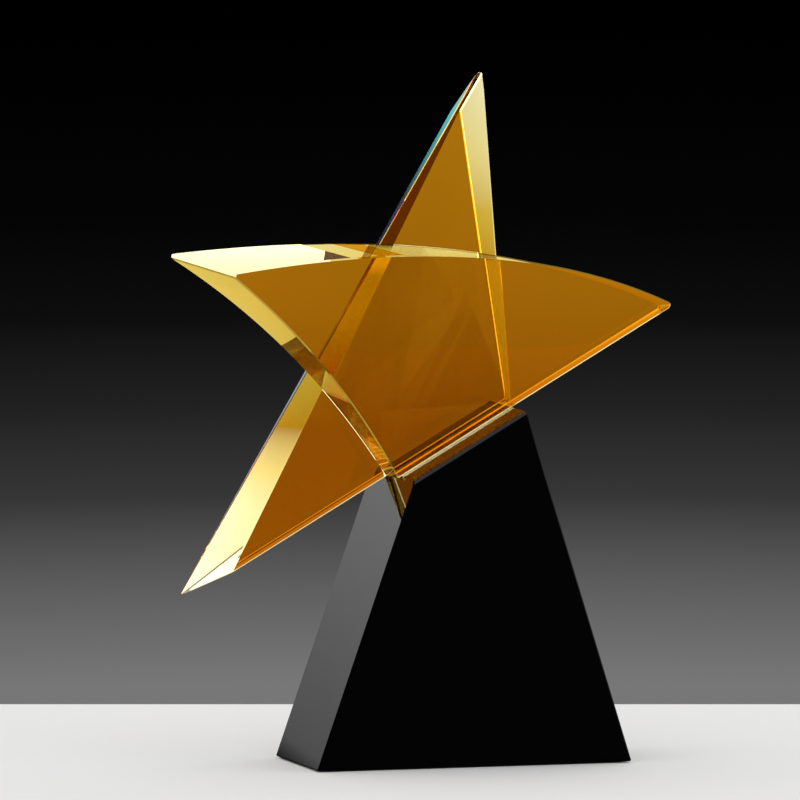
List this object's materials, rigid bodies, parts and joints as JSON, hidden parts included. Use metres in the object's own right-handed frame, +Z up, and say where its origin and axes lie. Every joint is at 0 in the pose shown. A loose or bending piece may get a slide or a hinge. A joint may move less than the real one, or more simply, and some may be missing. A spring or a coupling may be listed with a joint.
{
  "type": "star trophy",
  "caption": "Five-armed asymmetric star of bevelled amber crystal plates on a leaning black crystal block with a sloping top.",
  "frame": {"origin": "middle of the underside, on the table", "axes": "+X to the star's right arm, +Y to the back, +Z up"},
  "size_m": [0.1716, 0.05, 0.2315],
  "materials": {
    "black_crystal": "mirror polished, opaque",
    "amber_crystal": "polished, transparent",
    "clear_adhesive": "clear, cured",
    "black_felt": "short nap"
  },
  "bodies": {
    "root": {"base_pad": "black_felt", "base_block": "black_crystal", "front_foot_bond": "clear_adhesive", "rear_foot_bond": "clear_adhesive", "front_plate": "amber_crystal", "plate_bond": "clear_adhesive", "rear_plate": "amber_crystal"}
  },
  "joints": []
}
